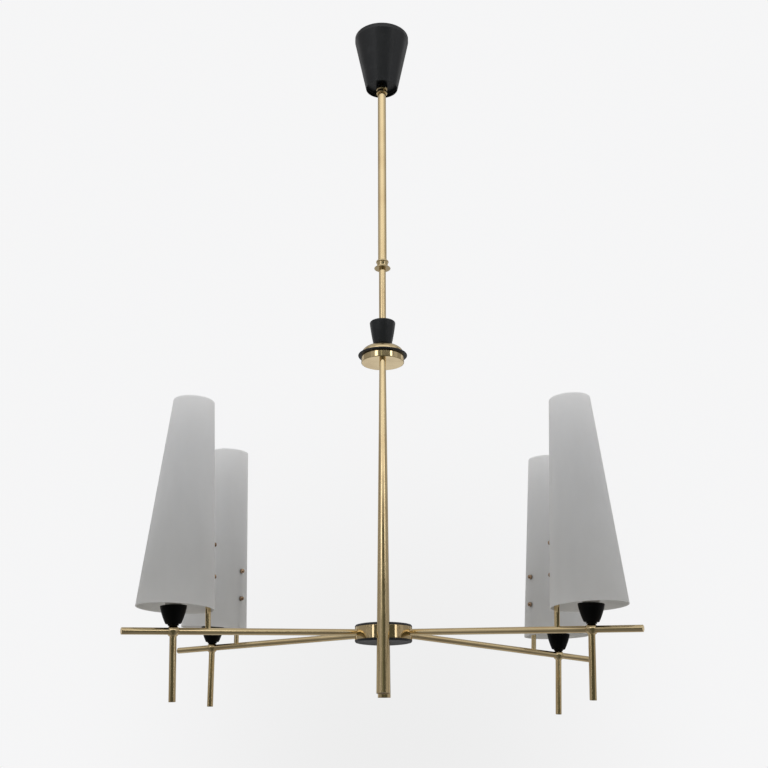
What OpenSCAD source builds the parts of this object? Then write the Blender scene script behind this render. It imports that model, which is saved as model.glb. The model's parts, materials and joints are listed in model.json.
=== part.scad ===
// Four arm hanging lamp with a telescopic stem, a cage of two tapered columns and four glass shades.
// Units are millimetres. The origin is on the ceiling, in the middle of the ceiling plate, and +Z is up.
// +X is to the right and -Y is the front.

/* [Ceiling fixing] */
// Diameter of the plate that is screwed to the ceiling
plate_diameter = 70; // [60:1:80]
// Thickness of the ceiling plate
plate_thickness = 3; // [2:0.5:4]
// Distance between the two screw holes in the ceiling plate
plate_hole_spacing = 50; // [40:1:56]
// Diameter of the screw holes in the ceiling plate
plate_hole_diameter = 5.5; // [4:0.5:7]
// Wire diameter of the ceiling hook and of the lamp's own eye
hook_wire = 5; // [4:0.5:6]
// Radius of the bend of the hook, to the middle of the wire
hook_bend = 9; // [8:0.5:11]
// Wire diameter of the loose link between hook and eye
link_wire = 4; // [3:0.5:4.5]
// Radius of the link and the eye, to the middle of the wire
link_bend = 8; // [7.5:0.5:10]

/* [Canopy] */
// Gap between the canopy's rim and the ceiling
canopy_gap = 4; // [3:0.5:8]
// Height of the canopy
canopy_height = 110; // [100:1:140]
// Diameter of the canopy at its rim
canopy_rim_diameter = 100; // [90:1:130]
// Diameter of the canopy at its lower edge
canopy_low_diameter = 58.5; // [48:0.5:70]
// Height of the upright lip round the rim
canopy_lip = 8; // [4:0.5:14]
// Wall of the canopy
canopy_wall = 1.2; // [1:0.1:2]
// How far the canopy's floor sits above its lower edge
canopy_recess = 8; // [5:0.5:12]
// Wall of the clamping ring under the canopy
canopy_ring_wall = 2.6; // [2.2:0.1:5]
// Height of the clamping ring under the canopy
canopy_ring_height = 11; // [9:0.5:14]

/* [Stem] */
// Diameter of the threaded tube between the eye and the stem
neck_diameter = 10; // [9:0.5:10.5]
// Outer diameter of the upper, thick stem tube
outer_tube_diameter = 15; // [14.6:0.1:18]
// Wall of the upper stem tube
outer_tube_wall = 1; // [0.8:0.1:1.2]
// Length of the upper stem tube
outer_tube_length = 363; // [280:1:500]
// Diameter of the lower, thin stem tube
inner_tube_diameter = 12; // [11.6:0.1:12.4]
// Length of the thin tube that shows between the collar and the cone
inner_tube_show = 100; // [60:1:160]
// Length of the thin tube that is hidden in the thick one
inner_tube_hidden = 215; // [120:1:230]
// How far the collar's flange stands out from the thick tube
collar_flange_width = 6.7; // [5.5:0.1:9]
// Height of the turned collar
collar_height = 16.5; // [15:0.5:22]

/* [Drum] */
// Height of the black cone on the stem
cone_height = 42; // [34:1:56]
// Upper diameter of the black cone
cone_top_diameter = 44; // [38:0.5:54]
// Lower diameter of the black cone
cone_low_diameter = 31; // [26:0.5:34]
// Height of the brass dome
dome_height = 18; // [12:0.5:24]
// Diameter of the drum and its dome
drum_diameter = 72.8; // [68:0.2:90]
// Height of the drum
drum_height = 12; // [11:0.5:18]
// Thickness of the black ring between drum and dome
drum_ring_thickness = 3.5; // [2.5:0.5:6]
// How far the black ring stands out past the drum
drum_ring_overhang = 5.3; // [3:0.1:8]

/* [Columns] */
// Height from the middle of the hub up to the drum's underside
cage_height = 451.5; // [360:0.5:560]
// How far the columns run on below the middle of the hub
column_past_hub = 93.5; // [60:0.5:140]
// Distance from the axis to the middle of a column under the drum
column_top_offset = 23.5; // [18:0.5:26]
// Diameter of a column at its top
column_top_diameter = 10.6; // [10:0.1:13]
// Diameter of a column at its lower end
column_low_diameter = 20.6; // [18:0.1:26]
// Wall of a column
column_wall = 1.6; // [1.2:0.1:2]

/* [Hub] */
// Diameter of the hub
hub_diameter = 90; // [80:1:120]
// Height of the hub's brass band
hub_height = 20; // [18:0.5:28]
// Wall of the hub's band
hub_wall = 2.5; // [2:0.5:4]
// Rise of each black cap above the band
hub_cap_rise = 6.2; // [5:0.2:9]

/* [Arms] */
// Distance from the hub's axis to the tip of an arm
arm_reach = 418; // [340:1:520]
// Length of arm past the ball
arm_overhang = 75; // [50:1:110]
// Diameter of the arms and the drop rods
arm_diameter = 10; // [9:0.1:11]
// Wall of the hollow part of an arm
arm_wall = 1.5; // [1.2:0.1:1.8]
// Angle between the X axis and each arm, seen from above
arm_spread = 30; // [25:1:35]
// How far each arm hangs below level: front right, back right, back left, front left
arm_droop = [2.5, 3.7, 0.8, 2.5]; // [0:0.1:5]
// Diameter of the ball where arm and drop rod cross
ball_diameter = 18; // [17:0.1:24]
// Length from the middle of the ball to the end of the drop rod
drop_length = 97; // [60:1:140]

/* [Lamp holders] */
// Upper diameter of the black cup
cup_top_diameter = 38.5; // [36:0.5:48]
// Lower diameter of the black cup
cup_low_diameter = 22.5; // [22:0.5:26]
// Height of the black cup
cup_height = 25.5; // [23:0.5:34]
// Diameter of the short neck between the cup and the ball
cup_neck_diameter = 15.5; // [13:0.5:17]
// Height of the short neck between the cup and the ball
cup_neck_height = 2.6; // [2:0.1:4]
// Outer diameter of the lamp holder
socket_diameter = 24; // [22:0.5:25]
// Height of the lamp holder
socket_height = 46; // [40:1:56]
// Diameter of the thread that takes the lamp
lamp_thread_diameter = 14.2; // [13.8:0.1:15]
// Depth of the thread that takes the lamp
lamp_thread_depth = 27; // [20:1:30]

/* [Shades] */
// Lower outer diameter of a shade
shade_low_diameter = 112.6; // [100:0.2:140]
// Upper outer diameter of a shade
shade_top_diameter = 62; // [50:0.5:74]
// Length of a shade along its axis
shade_length = 313.5; // [260:0.5:400]
// Thickness of the glass
shade_wall = 2.2; // [1.8:0.1:3.5]
// Height of the shade's lower edge above the arm
shade_lift = 27.5; // [20:0.5:40]
// How far the middle of a shade's mouth sits inside the ball's axis
shade_inset = 2.4; // [0:0.1:6]
// Diameter of the post that carries a shade
post_diameter = 8; // [7:0.1:9]
// Height of the post above the arm
post_height = 137; // [134:1:180]
// Heights of the two shade screws above the arm
shade_screw_heights = [79, 126]; // [70:1:130]
// Diameter of the shade screws' round heads
shade_screw_head = 7; // [6:0.5:9]

/* [Fits] */
// Radial clearance of a piece that turns or slides on another
running_fit = 0.05; // [0.02:0.01:0.1]
// Radial clearance of a piece that is screwed or soldered into another
seat_fit = 0.02; // [0.01:0.01:0.05]
// Gap between loose pieces that hang on each other
loose_gap = 0.3; // [0.2:0.1:0.5]

/* [Hidden] */
$fn = 96;

// Colours
brass = [0.78, 0.66, 0.42];
dark_brass = [0.55, 0.45, 0.27];
lacquer = [0.07, 0.07, 0.08];
opal = [0.86, 0.87, 0.86];
steel = [0.66, 0.67, 0.69];
porcelain = [0.93, 0.92, 0.88];

// Small sizes that repeat
cut = 1;
edge = 0.6;
arm_count = 4;
arm_angles = [-arm_spread, arm_spread, 180 - arm_spread, 180 + arm_spread];

// Hook, link and eye, from the top down
hook_stem = 11;
hook_sweep = 285;
hook_middle_z = -plate_thickness - hook_stem - hook_bend;
hook_rod_z = hook_middle_z - hook_bend;
link_middle_z = hook_rod_z + hook_wire / 2 + link_wire / 2 + loose_gap - link_bend;
link_rod_z = link_middle_z - link_bend;
eye_middle_z = link_rod_z + link_wire / 2 + hook_wire / 2 + loose_gap - link_bend;
eye_boss_diameter = 16;
eye_boss_height = 18;
eye_boss_top_z = eye_middle_z - link_bend;
eye_boss_z = eye_boss_top_z - eye_boss_height;
eye_cap = 3;
eye_wire_hole_r = 1.5;
neck_bore_r = neck_diameter / 2 - 1.5;
neck_thread_depth = 11;
neck_top_z = eye_boss_z + neck_thread_depth;
nut_thickness = 5;

// Canopy
canopy_top_z = -canopy_gap;
canopy_low_z = canopy_top_z - canopy_height;
canopy_floor_thickness = 1.5;
canopy_hole_gap = 0.4;
ring_groove = 1.4;
ring_groove_low = 0.2;
ring_groove_floor = 0.34;
thumb_angle = -58;
thumb_radius = 2;
thumb_head_radius = 2.4;
thumb_head_length = 4.5;
thumb_reach = 2.5;
spacer_window = 11;

// Stem
outer_r = outer_tube_diameter / 2;
outer_bore_r = outer_r - outer_tube_wall;
canopy_ring_r = outer_r + canopy_ring_wall;
inner_r = inner_tube_diameter / 2;
ring_cover = 1;
outer_top_z = canopy_low_z - ring_cover;
outer_low_z = outer_top_z - outer_tube_length;
collar_floor = 3;
collar_flange_r = outer_r + collar_flange_width;
flange_round = 1.2;
collar_cove = 3.5;
collar_bead_round = 2.6;
collar_bead_drop = 3.1;
collar_low_z = outer_low_z - collar_floor;
collar_top_z = collar_low_z + collar_height;
collar_bead_r = outer_r + 3.5;
collar_waist_r = outer_r + 1.8;
clamp_radius = 2;
clamp_angle = -78;
clamp_z = collar_top_z - collar_bead_drop;
clamp_sink = 0.7;
clamp_slot = [1, 2 * clamp_radius + cut, 1.2];
clamp_slot_depth = 1;
inner_wall = 1.2;
spigot_r = inner_r - 1;
spigot_length = 22;
bush_length = 16;
plug_length = 20;
neck_low_z = outer_top_z - plug_length;
inner_top_z = collar_low_z + inner_tube_hidden;
bush_low_z = inner_top_z - spigot_length + running_fit;
clip_height = 2.4;

// Drum
cone_top_z = collar_low_z - inner_tube_show;
dome_top_z = cone_top_z - cone_height;
drum_ring_top_z = dome_top_z - dome_height;
drum_top_z = drum_ring_top_z - drum_ring_thickness;
drum_low_z = drum_top_z - drum_height;
drum_wall = 1.5;
drum_floor = 2;
drum_boss_r = inner_r + 4;
drum_boss_height = 5;
drum_nut_thickness = drum_height - drum_floor - drum_boss_height;
drum_wire_slot = [7, 3];
dome_upright = 2;
dome_inset = 0.9;
dome_wall = 1.5;
cone_shoulder = 3;
cone_bulge = 0.54;
tube_end_rest = 1;

// Hub and columns
hub_z = drum_low_z - cage_height;
hub_r = hub_diameter / 2;
column_length_z = cage_height + column_past_hub;
hub_touch_gap = 0.15;
column_top_r = column_top_diameter / 2;
column_low_r = column_low_diameter / 2;
column_hub_r = column_top_r + (column_low_r - column_top_r) * cage_height / column_length_z;
column_hub_offset = hub_r + column_hub_r + hub_touch_gap;
column_lean = atan((column_hub_offset - column_top_offset) / cage_height);
column_length = column_length_z / cos(column_lean);
column_spigot_r = 4;
column_spigot_bore = 2.8;
column_spigot_length = 8;
column_root = 5;
column_bore_step = 0.4;
column_trim = 2;
column_nut_wall = 2.6;
column_nut_thickness = 4;
column_nut_play = 0.5;
end_cap_gap = 0.2;
end_cap_thickness = 2.2;
end_cap_sink = 1;
nipple_r = 4;
nipple_bore = 2.6;
cap_edge = 2.4;
cap_thickness = 1.5;
cap_round = 1.2;
cap_spigot = 2;
cap_spigot_gap = 0.2;
nut_play = 1;
nipple_head_wall = 2;
nipple_head_height = 2;
nipple_play = 0.5;
nipple_end = 0.8;
tie_r = 3;
tie_boss_r = 7;
tie_boss_depth = 6;

// Arms
arm_r = arm_diameter / 2;
arm_bore_r = arm_r - arm_wall;
arm_inner_end = hub_r - 9;
arm_nut_r = arm_r + 2.5;
arm_nut_thickness = 3;
ball_x = arm_reach - arm_overhang;
ball_r = ball_diameter / 2;
ball_flat = 1.4;
rod_seat = arm_r + loose_gap;
wire_hole_r = 2.5;

// Lamp holders, heights above the arm's middle
cup_low_h = ball_r - ball_flat + cup_neck_height;
cup_top_h = cup_low_h + cup_height;
cup_wall = 1.8;
cup_floor = 2.2;
cup_bulge = 0.9;
holder_nipple_r = 5;
holder_nipple_bore = 3;
socket_base_r = 8.5;
socket_base_height = 8;
socket_low_h = cup_low_h + cup_floor;

// Shades
shade_low_r = shade_low_diameter / 2;
shade_top_r = shade_top_diameter / 2;
shade_lean = atan((shade_low_r - shade_top_r) / shade_length);
shade_wall_x = ball_x - shade_inset - shade_low_r * cos(shade_lean);
wall_through = shade_wall / cos(shade_lean);
post_gap = 0.1;
post_r = post_diameter / 2;
post_x = shade_wall_x + wall_through + post_gap + post_r;
post_tenon_r = 2;
screw_r = 2;
screw_depth = 5.5;
screw_end_play = 0.5;
screw_head_height = 5.5;
screw_head_edge = 0.8;
screw_head_round = 0.7 * shade_screw_head / 2;
glass_hole_r = screw_r + 0.4;
washer_gap = 0.6;
tenon_play = 0.1;

// Points of an arc round (cx, cy) in the plane of the outline
function arc(cx, cy, r, from, to, steps) =
    [for (k = [0:steps]) let (a = from + (to - from) * k / steps) [cx + r * cos(a), cy + r * sin(a)]];

// Height of a dome of the given rise over a rim of radius rim, at distance x from the middle
function dome(x, rim, rise) = rise * sqrt(max(0, 1 - pow(x / rim, 2)));

module tube(r_out, r_in, h) {
    difference() {
        cylinder(r = r_out, h = h);
        translate([0, 0, -cut]) cylinder(r = r_in, h = h + 2 * cut);
    }
}

module hex_nut(across, r_in, h) {
    difference() {
        cylinder(d = across / cos(30), h = h, $fn = 6);
        translate([0, 0, -cut]) cylinder(r = r_in, h = h + 2 * cut);
    }
}

// Rod with a small chamfer at its upper end
module chamfered_rod(r, h) {
    cylinder(r = r, h = h - edge);
    translate([0, 0, h - edge]) cylinder(r1 = r, r2 = r - edge, h = edge);
}

// Children are drawn with +Z pointing along the radius at the given angle
module radial(angle, z) {
    translate([0, 0, z]) rotate([0, 0, angle]) rotate([0, 90, 0]) children();
}

// Frame of one arm: X runs out along the arm from the hub's axis, Z is square to it
module on_arm(i) {
    rotate([0, 0, arm_angles[i]]) translate([hub_r, 0, hub_z]) rotate([0, arm_droop[i], 0])
        translate([-hub_r, 0, 0]) children();
}

// Frame of one column: Z runs down its middle from the drum's underside, side is -1 at the front
module on_column(side) {
    translate([0, side * column_top_offset, drum_low_z]) rotate([side * column_lean, 0, 0])
        rotate([180, 0, 0]) children();
}

// ---- Ceiling fixing ----

module ceiling_plate() {
    color(steel) translate([0, 0, -plate_thickness]) difference() {
        cylinder(d = plate_diameter, h = plate_thickness);
        translate([0, 0, -cut]) cylinder(r = hook_wire / 2 + seat_fit, h = plate_thickness + 2 * cut);
        for (side = [-1, 1])
            translate([side * plate_hole_spacing / 2, 0, -cut])
                cylinder(d = plate_hole_diameter, h = plate_thickness + 2 * cut);
    }
}

module ceiling_hook() {
    color(steel) {
        translate([0, 0, hook_middle_z + hook_bend])
            cylinder(r = hook_wire / 2, h = -hook_middle_z - hook_bend - edge);
        translate([0, 0, -plate_thickness - nut_thickness])
            hex_nut(10, hook_wire / 2 - seat_fit, nut_thickness);
        translate([0, 0, hook_middle_z]) rotate([90, 0, 0]) rotate([0, 0, 90])
            rotate_extrude(angle = hook_sweep) translate([hook_bend, 0]) circle(d = hook_wire, $fn = 48);
    }
}

module terminal_block() {
    block = [34, 15, 12];
    poles = 3;
    pitch = 10;
    wire_hole = 4;
    screw_hole = 3.2;
    edge_distance = 5;
    color(porcelain)
        translate([0, (plate_diameter - block.y) / 2 - edge_distance, -plate_thickness - block.z])
        difference() {
            translate([-block.x / 2, -block.y / 2, 0]) cube(block);
            for (k = [0:poles - 1]) {
                x = (k - (poles - 1) / 2) * pitch;
                translate([x, -block.y / 2 - cut, block.z / 2]) rotate([-90, 0, 0])
                    cylinder(d = wire_hole, h = block.y + 2 * cut);
                for (y = [-1, 1] * block.y / 4)
                    translate([x, y, -cut]) cylinder(d = screw_hole, h = block.z / 2 + cut);
            }
        }
}

module hanging_link() {
    color(steel) translate([0, 0, link_middle_z]) rotate([0, 90, 0])
        rotate_extrude() translate([link_bend, 0]) circle(d = link_wire, $fn = 48);
}

module hanging_eye() {
    color(dark_brass) difference() {
        union() {
            translate([0, 0, eye_middle_z]) rotate([90, 0, 0])
                rotate_extrude() translate([link_bend, 0]) circle(d = hook_wire, $fn = 48);
            translate([0, 0, eye_boss_z]) cylinder(d = eye_boss_diameter, h = eye_boss_height);
        }
        translate([0, 0, eye_boss_z - cut])
            cylinder(r = neck_diameter / 2 + seat_fit, h = neck_thread_depth + cut);
        translate([0, 0, eye_boss_z]) cylinder(r = neck_bore_r, h = eye_boss_height - eye_cap);
        radial(90, (neck_top_z + eye_boss_top_z - eye_cap) / 2)
            cylinder(r = eye_wire_hole_r, h = eye_boss_diameter);
    }
}

module neck_tube() {
    color(dark_brass) translate([0, 0, neck_low_z])
        tube(neck_diameter / 2, neck_bore_r, neck_top_z - neck_low_z);
}

module neck_nut() {
    color(dark_brass) translate([0, 0, eye_boss_z - nut_thickness])
        hex_nut(14, neck_diameter / 2 + seat_fit, nut_thickness);
}

// ---- Canopy, which slides down the stem ----

module canopy_shell() {
    rim_r = canopy_rim_diameter / 2;
    low_r = canopy_low_diameter / 2;
    side_h = canopy_height - canopy_lip;
    floor_r = low_r + (rim_r - low_r) * canopy_recess / side_h;
    hole_r = outer_r + canopy_hole_gap;
    floor_top = canopy_recess + canopy_floor_thickness;
    top_floor_r = low_r + (rim_r - low_r) * floor_top / side_h;
    color(lacquer) translate([0, 0, canopy_low_z]) rotate_extrude() polygon([
        [low_r - canopy_wall, 0],
        [low_r, 0],
        [rim_r, side_h],
        [rim_r, canopy_height],
        [rim_r - canopy_wall, canopy_height],
        [rim_r - canopy_wall, side_h],
        [top_floor_r - canopy_wall, floor_top],
        [hole_r, floor_top],
        [hole_r, canopy_recess],
        [floor_r - canopy_wall, canopy_recess]
    ]);
}

module canopy_spacer() {
    color(lacquer) translate([0, 0, canopy_low_z]) difference() {
        tube(canopy_ring_r + loose_gap, outer_r + loose_gap, canopy_recess);
        translate([-spacer_window / 2, -2 * canopy_ring_r, cut])
            cube([spacer_window, 2 * canopy_ring_r, canopy_recess]);
    }
}

module canopy_ring() {
    r = canopy_ring_r;
    h = canopy_ring_height;
    bore_r = outer_r + running_fit;
    color(brass) difference() {
        translate([0, 0, canopy_low_z - h]) rotate_extrude() polygon(concat(
            [[bore_r, 0], [r - edge, 0], [r, edge], [r, h * ring_groove_low]],
            [[r - ring_groove, h * ring_groove_floor], [r - ring_groove, h * (1 - ring_groove_floor)]],
            [[r, h * (1 - ring_groove_low)], [r, h - edge], [r - edge, h], [bore_r, h]]
        ));
        radial(thumb_angle, canopy_low_z - h / 2) cylinder(r = thumb_radius + running_fit, h = 2 * r);
    }
}

module canopy_thumb_screw() {
    tip = outer_r + loose_gap;
    head = canopy_ring_r + thumb_reach;
    color(brass) radial(thumb_angle, canopy_low_z - canopy_ring_height / 2) {
        translate([0, 0, tip]) cylinder(r = thumb_radius, h = head - tip);
        translate([0, 0, head]) chamfered_rod(thumb_head_radius, thumb_head_length);
    }
}

// ---- Stem ----

module stem_outer_tube() {
    color(brass) difference() {
        translate([0, 0, outer_low_z]) tube(outer_r, outer_bore_r, outer_tube_length);
        radial(clamp_angle, clamp_z) cylinder(r = clamp_radius + running_fit, h = 2 * outer_r);
    }
}

module stem_top_plug() {
    color(dark_brass) translate([0, 0, outer_top_z - plug_length])
        tube(outer_bore_r - seat_fit, neck_diameter / 2 + seat_fit, plug_length);
}

module stem_collar() {
    h = collar_height;
    flange_r = collar_flange_r - flange_round;
    flange_top = 2 * flange_round;
    seat_r = outer_r + seat_fit;
    slide_r = inner_r + running_fit;
    color(brass) difference() {
        translate([0, 0, collar_low_z]) rotate_extrude() polygon(concat(
            [[slide_r, 0]],
            arc(flange_r, flange_round, flange_round, -90, 90, 10),
            arc(collar_waist_r + collar_cove, flange_top + collar_cove, collar_cove, 270, 180, 8),
            arc(collar_bead_r - collar_bead_round, h - collar_bead_drop, collar_bead_round, -60, 60, 10),
            [[seat_r, h - edge], [seat_r, collar_floor], [slide_r, collar_floor]]
        ));
        radial(clamp_angle, clamp_z) cylinder(r = clamp_radius + running_fit, h = 2 * collar_flange_r);
    }
}

module stem_clamp_screw() {
    tip = inner_r + loose_gap;
    head = collar_bead_r - clamp_sink;
    color(steel) radial(clamp_angle, clamp_z) difference() {
        translate([0, 0, tip]) cylinder(r = clamp_radius, h = head - tip);
        translate([-clamp_slot.x / 2, -clamp_slot.y / 2, head - clamp_slot_depth]) cube(clamp_slot);
    }
}

module guide_bush() {
    color(dark_brass) translate([0, 0, bush_low_z])
        tube(outer_bore_r - running_fit, spigot_r + running_fit, bush_length);
}

module stem_inner_tube() {
    body_top_z = inner_top_z - spigot_length;
    low_z = drum_low_z + drum_floor + tube_end_rest;
    color(brass) difference() {
        union() {
            translate([0, 0, low_z]) cylinder(r = inner_r, h = body_top_z - low_z);
            translate([0, 0, body_top_z]) cylinder(r = spigot_r, h = spigot_length);
        }
        translate([0, 0, low_z - cut])
            cylinder(r = spigot_r - inner_wall, h = inner_top_z - low_z + 2 * cut);
    }
}

module bush_clip() {
    color(steel) translate([0, 0, bush_low_z + bush_length + running_fit])
        tube(outer_bore_r - loose_gap, spigot_r + seat_fit, clip_height);
}

// ---- Drum ----

module stem_cone() {
    low_r = cone_low_diameter / 2;
    top_r = cone_top_diameter / 2;
    side_h = cone_height - cone_shoulder;
    side_lean = atan((top_r - low_r) / side_h);
    steps = 10;
    color(lacquer) translate([0, 0, dome_top_z]) rotate_extrude() polygon(concat(
        [[inner_r + seat_fit, 0]],
        [for (k = [0:steps]) let (t = k / steps)
            [low_r + (top_r - low_r) * t + cone_bulge * 4 * t * (1 - t), side_h * t]],
        arc(top_r - cone_shoulder, side_h, cone_shoulder, side_lean, 90, 8),
        [[inner_r + seat_fit, cone_height]]
    ));
}

module drum_dome() {
    r = drum_diameter / 2 - dome_inset;
    inside_r = r - dome_wall;
    rise = dome_height - dome_upright;
    steps = 16;
    tube_hole_r = inner_r + seat_fit;
    color(brass) translate([0, 0, drum_ring_top_z]) rotate_extrude() polygon(concat(
        [[r, 0]],
        [for (k = [0:steps]) let (x = r * cos(80 * k / steps)) [x, dome_upright + dome(x, r, rise)]],
        [[tube_hole_r, dome_height], [tube_hole_r, dome_height - dome_wall]],
        [for (k = [steps:-1:0]) let (x = inside_r * cos(75 * k / steps))
            [x, dome_upright - dome_wall + dome(x, inside_r, rise)]],
        [[inside_r, 0]]
    ));
}

module drum_ring() {
    r = drum_diameter / 2 + drum_ring_overhang;
    round_r = drum_ring_thickness / 2;
    color(lacquer) translate([0, 0, drum_top_z]) rotate_extrude() polygon(concat(
        [[inner_r + seat_fit, 0]],
        arc(r - round_r, round_r, round_r, -90, 90, 10),
        [[inner_r + seat_fit, drum_ring_thickness]]
    ));
}

module drum_cup() {
    r = drum_diameter / 2;
    through_h = column_spigot_length + drum_boss_height;
    color(brass) difference() {
        translate([0, 0, drum_low_z]) union() {
            rotate_extrude() polygon([
                [0, 0], [r - edge, 0], [r, edge], [r, drum_height],
                [r - drum_wall, drum_height], [r - drum_wall, drum_floor], [0, drum_floor]
            ]);
            translate([0, 0, drum_floor]) cylinder(r = drum_boss_r, h = drum_boss_height);
        }
        translate([0, 0, drum_low_z + drum_floor + tube_end_rest])
            cylinder(r = inner_r + seat_fit, h = drum_height);
        translate([-drum_wire_slot.x / 2, -drum_boss_r - cut, drum_low_z + drum_floor])
            cube([drum_wire_slot.x, 2 * (drum_boss_r + cut), drum_wire_slot.y]);
        for (side = [-1, 1]) on_column(side) translate([0, 0, -column_spigot_length])
            cylinder(r = column_spigot_r + seat_fit, h = through_h);
    }
}

module drum_nut() {
    color(steel) translate([0, 0, drum_low_z + drum_floor + drum_boss_height])
        hex_nut(18, inner_r + seat_fit, drum_nut_thickness);
}

// ---- Columns ----

module column(side) {
    taper = (column_low_r - column_top_r) / column_length;
    color(brass) difference() {
        union() {
            difference() {
                on_column(side) translate([0, 0, -column_trim])
                    cylinder(r1 = column_top_r - column_trim * taper, r2 = column_low_r,
                        h = column_length + column_trim);
                translate([-hub_r, -2 * hub_r, drum_low_z]) cube([2 * hub_r, 4 * hub_r, drum_height]);
            }
            on_column(side) translate([0, 0, -column_spigot_length])
                cylinder(r = column_spigot_r, h = column_spigot_length + column_root);
        }
        on_column(side) {
            translate([0, 0, -column_spigot_length - cut])
                cylinder(r = column_spigot_bore, h = column_spigot_length + 2 * column_root);
            translate([0, 0, column_root])
                cylinder(r1 = column_spigot_bore + column_bore_step, r2 = column_low_r - column_wall,
                    h = column_length - column_root);
            translate([0, 0, column_length - cut])
                cylinder(r = column_low_r - column_wall, h = 2 * cut);
        }
        translate([0, 0, hub_z - hub_height]) cylinder(r = hub_r + seat_fit, h = 2 * hub_height);
        radial(side * 90, hub_z) cylinder(r = nipple_r + seat_fit, h = column_hub_offset);
    }
}

module column_top_nuts() {
    color(steel) for (side = [-1, 1]) on_column(side)
        translate([0, 0, -column_spigot_length + column_nut_play])
            tube(column_spigot_r + column_nut_wall, column_spigot_r + seat_fit, column_nut_thickness);
}

module column_end_caps() {
    color(dark_brass) for (side = [-1, 1]) on_column(side)
        translate([0, 0, column_length - end_cap_thickness - end_cap_sink])
            cylinder(r = column_low_r - column_wall - end_cap_gap, h = end_cap_thickness);
}

// ---- Hub ----

module hub_band() {
    color(brass) difference() {
        translate([0, 0, hub_z - hub_height / 2]) tube(hub_r, hub_r - hub_wall, hub_height);
        for (i = [0:arm_count - 1]) on_arm(i) translate([arm_inner_end, 0, 0]) rotate([0, 90, 0])
            cylinder(r = arm_r + seat_fit, h = 2 * (hub_r - arm_inner_end));
        for (side = [-1, 1]) radial(side * 90, hub_z) translate([0, 0, hub_r / 2])
            cylinder(r = nipple_r + seat_fit, h = hub_r);
    }
}

module hub_cap() {
    steps = 12;
    rise = hub_cap_rise - cap_edge;
    inside_r = hub_r - hub_wall - cap_spigot_gap;
    wall_r = inside_r - cap_thickness;
    round_x = hub_r - cap_round;
    rotate_extrude() polygon(concat(
        [[0, -tie_boss_depth], [0, hub_cap_rise]],
        [for (k = [1:steps]) let (x = round_x * k / steps) [x, cap_edge + dome(x, hub_r, rise)]],
        arc(round_x, cap_edge - cap_round, cap_round, 60, 0, 5),
        [[hub_r, 0], [inside_r, 0], [inside_r, -cap_spigot], [wall_r, -cap_spigot]],
        [[wall_r, cap_edge - cap_thickness], [tie_boss_r, hub_cap_rise - 2 * cap_thickness]],
        [[tie_boss_r, -tie_boss_depth]]
    ));
}

module hub_tie_hole() {
    translate([0, 0, -tie_boss_depth - cut]) cylinder(r = tie_r + seat_fit, h = tie_boss_depth + 2 * cut);
}

module hub_top_cap() {
    color(lacquer) translate([0, 0, hub_z + hub_height / 2]) difference() {
        hub_cap();
        hub_tie_hole();
    }
}

module hub_bottom_cap() {
    color(lacquer) translate([0, 0, hub_z - hub_height / 2]) mirror([0, 0, 1]) difference() {
        hub_cap();
        hub_tie_hole();
    }
}

module hub_tie_rod() {
    color(steel) translate([0, 0, hub_z - hub_height / 2]) cylinder(r = tie_r, h = hub_height);
}

module hub_nipples() {
    inside_r = hub_r - hub_wall;
    shank_start = inside_r - nipple_play - cut;
    reach = column_hub_offset - column_hub_r + column_wall + nipple_end;
    color(steel) for (side = [-1, 1]) radial(side * 90, hub_z) difference() {
        union() {
            translate([0, 0, inside_r - nipple_head_height - nipple_play])
                cylinder(r = nipple_r + nipple_head_wall, h = nipple_head_height);
            translate([0, 0, shank_start]) cylinder(r = nipple_r, h = reach - shank_start);
        }
        cylinder(r = nipple_bore, h = 2 * hub_r);
    }
}

module arm_nuts() {
    color(steel) for (i = [0:arm_count - 1]) on_arm(i)
        translate([hub_r - hub_wall - nut_play - arm_nut_thickness, 0, 0]) rotate([0, 90, 0])
            tube(arm_nut_r, arm_r + seat_fit, arm_nut_thickness);
}

// ---- Arms ----

module arm(i) {
    color(brass) on_arm(i) difference() {
        translate([arm_inner_end, 0, 0]) rotate([0, 90, 0])
            chamfered_rod(arm_r, arm_reach - arm_inner_end);
        translate([arm_inner_end - cut, 0, 0]) rotate([0, 90, 0])
            cylinder(r = arm_bore_r, h = ball_x - arm_inner_end + wire_hole_r + cut);
        translate([ball_x, 0, 0]) cylinder(r = wire_hole_r, h = 2 * arm_r);
        translate([post_x, 0, 0]) cylinder(r = post_tenon_r + seat_fit, h = 2 * arm_r);
    }
}

module ball(i) {
    top = ball_r - ball_flat;
    color(brass) on_arm(i) translate([ball_x, 0, 0]) difference() {
        sphere(r = ball_r);
        translate([-ball_r, -ball_r, top]) cube(2 * ball_r);
        translate([-2 * ball_r, 0, 0]) rotate([0, 90, 0]) cylinder(r = arm_r + seat_fit, h = 4 * ball_r);
        cylinder(r = holder_nipple_r + seat_fit, h = 2 * ball_r);
        translate([0, 0, -2 * ball_r]) cylinder(r = arm_r + seat_fit, h = 2 * ball_r);
    }
}

module drop_rod(i) {
    color(brass) on_arm(i) translate([ball_x, 0, -rod_seat]) mirror([0, 0, 1])
        chamfered_rod(arm_r, drop_length - rod_seat);
}

// ---- Lamp holders ----

// Outer radius of the cup at the share t of its height
function cup_r(t) = cup_low_diameter / 2 + (cup_top_diameter - cup_low_diameter) / 2 * t
    + cup_bulge * 4 * t * (1 - t);

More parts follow.
